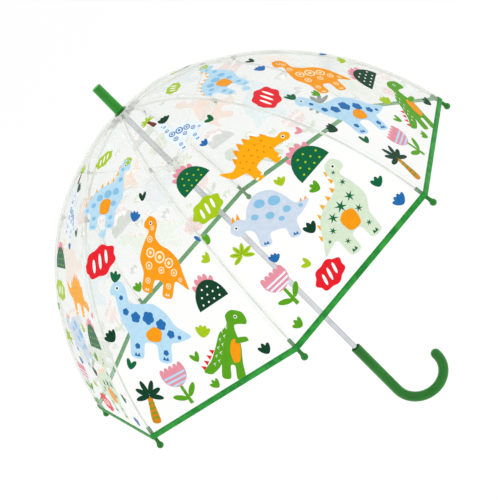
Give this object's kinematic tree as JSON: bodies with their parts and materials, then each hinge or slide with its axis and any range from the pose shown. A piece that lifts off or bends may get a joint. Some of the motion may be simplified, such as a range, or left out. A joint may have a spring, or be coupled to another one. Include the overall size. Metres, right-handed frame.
{
  "type": "children's dome umbrella",
  "caption": "Open clear dome umbrella with straight ribs that fold by a sliding runner, a bound rim, ball rib tips, a plain ferrule and a hooked handle.",
  "frame": {"origin": "on the shaft's axis, at the middle of the handle's straight grip", "axes": "+Z along the shaft towards the ferrule; +X towards the open side of the hook and along rib 1"},
  "size_m": [0.6828, 0.6828, 0.695],
  "materials": {
    "clear_film": "clear embossed-smooth vinyl film, about 0.2 mm, with printed animals and plants",
    "green_tape": "folded woven binding tape, sewn on",
    "green_plastic": "moulded satin plastic",
    "white_plastic": "moulded plain plastic",
    "chrome_tube": "bright plated steel tube",
    "steel_wire": "zinc-plated steel",
    "rib_rod": "pale glass-fibre rod, smooth"
  },
  "bodies": {
    "root": {"shaft": "chrome_tube", "ferrule": "green_plastic", "canopy_washer": "green_plastic", "crown": "white_plastic", "crown_wire": "steel_wire", "handle": "green_plastic"},
    "runner": {"runner": "white_plastic"},
    "top_catch": {"top_catch": "steel_wire"},
    "bottom_catch": {"bottom_catch": "steel_wire"},
    "rib_1": {"rib_1_inner": "rib_rod", "canopy_1": "clear_film"},
    "rib_1_end": {"rib_1_outer": "rib_rod", "rib_tip_1": "green_plastic", "binding_1": "green_tape"},
    "stretcher_1": {"stretcher_1": "steel_wire"},
    "rib_2": {"rib_2_inner": "rib_rod", "canopy_2": "clear_film"},
    "rib_2_end": {"rib_2_outer": "rib_rod", "rib_tip_2": "green_plastic", "binding_2": "green_tape"},
    "stretcher_2": {"stretcher_2": "steel_wire"},
    "rib_3": {"rib_3_inner": "rib_rod", "canopy_3": "clear_film"},
    "rib_3_end": {"rib_3_outer": "rib_rod", "rib_tip_3": "green_plastic", "binding_3": "green_tape"},
    "stretcher_3": {"stretcher_3": "steel_wire"},
    "rib_4": {"rib_4_inner": "rib_rod", "canopy_4": "clear_film"},
    "rib_4_end": {"rib_4_outer": "rib_rod", "rib_tip_4": "green_plastic", "binding_4": "green_tape"},
    "stretcher_4": {"stretcher_4": "steel_wire"},
    "rib_5": {"rib_5_inner": "rib_rod", "canopy_5": "clear_film"},
    "rib_5_end": {"rib_5_outer": "rib_rod", "rib_tip_5": "green_plastic", "binding_5": "green_tape"},
    "stretcher_5": {"stretcher_5": "steel_wire"},
    "rib_6": {"rib_6_inner": "rib_rod", "canopy_6": "clear_film"},
    "rib_6_end": {"rib_6_outer": "rib_rod", "rib_tip_6": "green_plastic", "binding_6": "green_tape"},
    "stretcher_6": {"stretcher_6": "steel_wire"},
    "rib_7": {"rib_7_inner": "rib_rod", "canopy_7": "clear_film"},
    "rib_7_end": {"rib_7_outer": "rib_rod", "rib_tip_7": "green_plastic", "binding_7": "green_tape"},
    "stretcher_7": {"stretcher_7": "steel_wire"},
    "rib_8": {"rib_8_inner": "rib_rod", "canopy_8": "clear_film"},
    "rib_8_end": {"rib_8_outer": "rib_rod", "rib_tip_8": "green_plastic", "binding_8": "green_tape"},
    "stretcher_8": {"stretcher_8": "steel_wire"}
  },
  "joints": [
    {"name": "runner_slide", "type": "slide", "parent": "root", "child": "runner", "axis": [0, 0, 1], "range_m": [-0.21467, 0]},
    {"name": "top_catch_press", "type": "slide", "parent": "root", "child": "top_catch", "axis": [0, -1, 0], "range_m": [0, 0.002], "stiffness_N_per_m": 500, "springref_m": -0.001},
    {"name": "bottom_catch_press", "type": "slide", "parent": "root", "child": "bottom_catch", "axis": [0, -1, 0], "range_m": [0, 0.002], "stiffness_N_per_m": 500, "springref_m": -0.001},
    {"name": "rib_1_fold", "type": "hinge", "parent": "root", "child": "rib_1", "pos_m": [0.0095, 0, 0.545], "axis": [0, 1, 0], "range_deg": [0, 59.3], "deforming": ["canopy_1"]},
    {"name": "rib_1_flex", "type": "hinge", "parent": "rib_1", "child": "rib_1_end", "pos_m": [0.21999, 0, 0.45348], "axis": [0, 1, 0], "range_deg": [-26.3, 0], "deforming": ["binding_1"]},
    {"name": "stretcher_1_hinge", "type": "hinge", "parent": "rib_1", "child": "stretcher_1", "pos_m": [0.16273, 0, 0.49282], "axis": [0, 1, 0], "range_deg": [-119.76, 0]},
    {"name": "rib_2_fold", "type": "hinge", "parent": "root", "child": "rib_2", "pos_m": [0.00672, 0.00672, 0.545], "axis": [-0.7071, 0.7071, 0], "range_deg": [0, 59.3], "deforming": ["canopy_2"]},
    {"name": "rib_2_flex", "type": "hinge", "parent": "rib_2", "child": "rib_2_end", "pos_m": [0.15555, 0.15555, 0.45348], "axis": [-0.7071, 0.7071, 0], "range_deg": [-26.3, 0], "deforming": ["binding_2"]},
    {"name": "stretcher_2_hinge", "type": "hinge", "parent": "rib_2", "child": "stretcher_2", "pos_m": [0.11507, 0.11507, 0.49282], "axis": [-0.7071, 0.7071, 0], "range_deg": [-119.76, 0]},
    {"name": "rib_3_fold", "type": "hinge", "parent": "root", "child": "rib_3", "pos_m": [0, 0.0095, 0.545], "axis": [-1, 0, 0], "range_deg": [0, 59.3], "deforming": ["canopy_3"]},
    {"name": "rib_3_flex", "type": "hinge", "parent": "rib_3", "child": "rib_3_end", "pos_m": [0, 0.21999, 0.45348], "axis": [-1, 0, 0], "range_deg": [-26.3, 0], "deforming": ["binding_3"]},
    {"name": "stretcher_3_hinge", "type": "hinge", "parent": "rib_3", "child": "stretcher_3", "pos_m": [0, 0.16273, 0.49282], "axis": [-1, 0, 0], "range_deg": [-119.76, 0]},
    {"name": "rib_4_fold", "type": "hinge", "parent": "root", "child": "rib_4", "pos_m": [-0.00672, 0.00672, 0.545], "axis": [-0.7071, -0.7071, 0], "range_deg": [0, 59.3], "deforming": ["canopy_4"]},
    {"name": "rib_4_flex", "type": "hinge", "parent": "rib_4", "child": "rib_4_end", "pos_m": [-0.15555, 0.15555, 0.45348], "axis": [-0.7071, -0.7071, 0], "range_deg": [-26.3, 0], "deforming": ["binding_4"]},
    {"name": "stretcher_4_hinge", "type": "hinge", "parent": "rib_4", "child": "stretcher_4", "pos_m": [-0.11507, 0.11507, 0.49282], "axis": [-0.7071, -0.7071, 0], "range_deg": [-119.76, 0]},
    {"name": "rib_5_fold", "type": "hinge", "parent": "root", "child": "rib_5", "pos_m": [-0.0095, 0, 0.545], "axis": [0, -1, 0], "range_deg": [0, 59.3], "deforming": ["canopy_5"]},
    {"name": "rib_5_flex", "type": "hinge", "parent": "rib_5", "child": "rib_5_end", "pos_m": [-0.21999, 0, 0.45348], "axis": [0, -1, 0], "range_deg": [-26.3, 0], "deforming": ["binding_5"]},
    {"name": "stretcher_5_hinge", "type": "hinge", "parent": "rib_5", "child": "stretcher_5", "pos_m": [-0.16273, 0, 0.49282], "axis": [0, -1, 0], "range_deg": [-119.76, 0]},
    {"name": "rib_6_fold", "type": "hinge", "parent": "root", "child": "rib_6", "pos_m": [-0.00672, -0.00672, 0.545], "axis": [0.7071, -0.7071, 0], "range_deg": [0, 59.3], "deforming": ["canopy_6"]},
    {"name": "rib_6_flex", "type": "hinge", "parent": "rib_6", "child": "rib_6_end", "pos_m": [-0.15555, -0.15555, 0.45348], "axis": [0.7071, -0.7071, 0], "range_deg": [-26.3, 0], "deforming": ["binding_6"]},
    {"name": "stretcher_6_hinge", "type": "hinge", "parent": "rib_6", "child": "stretcher_6", "pos_m": [-0.11507, -0.11507, 0.49282], "axis": [0.7071, -0.7071, 0], "range_deg": [-119.76, 0]},
    {"name": "rib_7_fold", "type": "hinge", "parent": "root", "child": "rib_7", "pos_m": [0, -0.0095, 0.545], "axis": [1, 0, 0], "range_deg": [0, 59.3], "deforming": ["canopy_7"]},
    {"name": "rib_7_flex", "type": "hinge", "parent": "rib_7", "child": "rib_7_end", "pos_m": [0, -0.21999, 0.45348], "axis": [1, 0, 0], "range_deg": [-26.3, 0], "deforming": ["binding_7"]},
    {"name": "stretcher_7_hinge", "type": "hinge", "parent": "rib_7", "child": "stretcher_7", "pos_m": [0, -0.16273, 0.49282], "axis": [1, 0, 0], "range_deg": [-119.76, 0]},
    {"name": "rib_8_fold", "type": "hinge", "parent": "root", "child": "rib_8", "pos_m": [0.00672, -0.00672, 0.545], "axis": [0.7071, 0.7071, 0], "range_deg": [0, 59.3], "deforming": ["canopy_8"]},
    {"name": "rib_8_flex", "type": "hinge", "parent": "rib_8", "child": "rib_8_end", "pos_m": [0.15555, -0.15555, 0.45348], "axis": [0.7071, 0.7071, 0], "range_deg": [-26.3, 0], "deforming": ["binding_8"]},
    {"name": "stretcher_8_hinge", "type": "hinge", "parent": "rib_8", "child": "stretcher_8", "pos_m": [0.11507, -0.11507, 0.49282], "axis": [0.7071, 0.7071, 0], "range_deg": [-119.76, 0]}
  ],
  "couplings": [
    {"joint": "rib_1_fold", "follows": "runner_slide", "rad_per_m": -4.7969},
    {"joint": "rib_1_flex", "follows": "runner_slide", "rad_per_m": 2.1139},
    {"joint": "stretcher_1_hinge", "follows": "runner_slide", "rad_per_m": 9.7125},
    {"joint": "rib_2_fold", "follows": "runner_slide", "rad_per_m": -4.7969},
    {"joint": "rib_2_flex", "follows": "runner_slide", "rad_per_m": 2.1139},
    {"joint": "stretcher_2_hinge", "follows": "runner_slide", "rad_per_m": 9.7125},
    {"joint": "rib_3_fold", "follows": "runner_slide", "rad_per_m": -4.7969},
    {"joint": "rib_3_flex", "follows": "runner_slide", "rad_per_m": 2.1139},
    {"joint": "stretcher_3_hinge", "follows": "runner_slide", "rad_per_m": 9.7125},
    {"joint": "rib_4_fold", "follows": "runner_slide", "rad_per_m": -4.7969},
    {"joint": "rib_4_flex", "follows": "runner_slide", "rad_per_m": 2.1139},
    {"joint": "stretcher_4_hinge", "follows": "runner_slide", "rad_per_m": 9.7125},
    {"joint": "rib_5_fold", "follows": "runner_slide", "rad_per_m": -4.7969},
    {"joint": "rib_5_flex", "follows": "runner_slide", "rad_per_m": 2.1139},
    {"joint": "stretcher_5_hinge", "follows": "runner_slide", "rad_per_m": 9.7125},
    {"joint": "rib_6_fold", "follows": "runner_slide", "rad_per_m": -4.7969},
    {"joint": "rib_6_flex", "follows": "runner_slide", "rad_per_m": 2.1139},
    {"joint": "stretcher_6_hinge", "follows": "runner_slide", "rad_per_m": 9.7125},
    {"joint": "rib_7_fold", "follows": "runner_slide", "rad_per_m": -4.7969},
    {"joint": "rib_7_flex", "follows": "runner_slide", "rad_per_m": 2.1139},
    {"joint": "stretcher_7_hinge", "follows": "runner_slide", "rad_per_m": 9.7125},
    {"joint": "rib_8_fold", "follows": "runner_slide", "rad_per_m": -4.7969},
    {"joint": "rib_8_flex", "follows": "runner_slide", "rad_per_m": 2.1139},
    {"joint": "stretcher_8_hinge", "follows": "runner_slide", "rad_per_m": 9.7125}
  ]
}
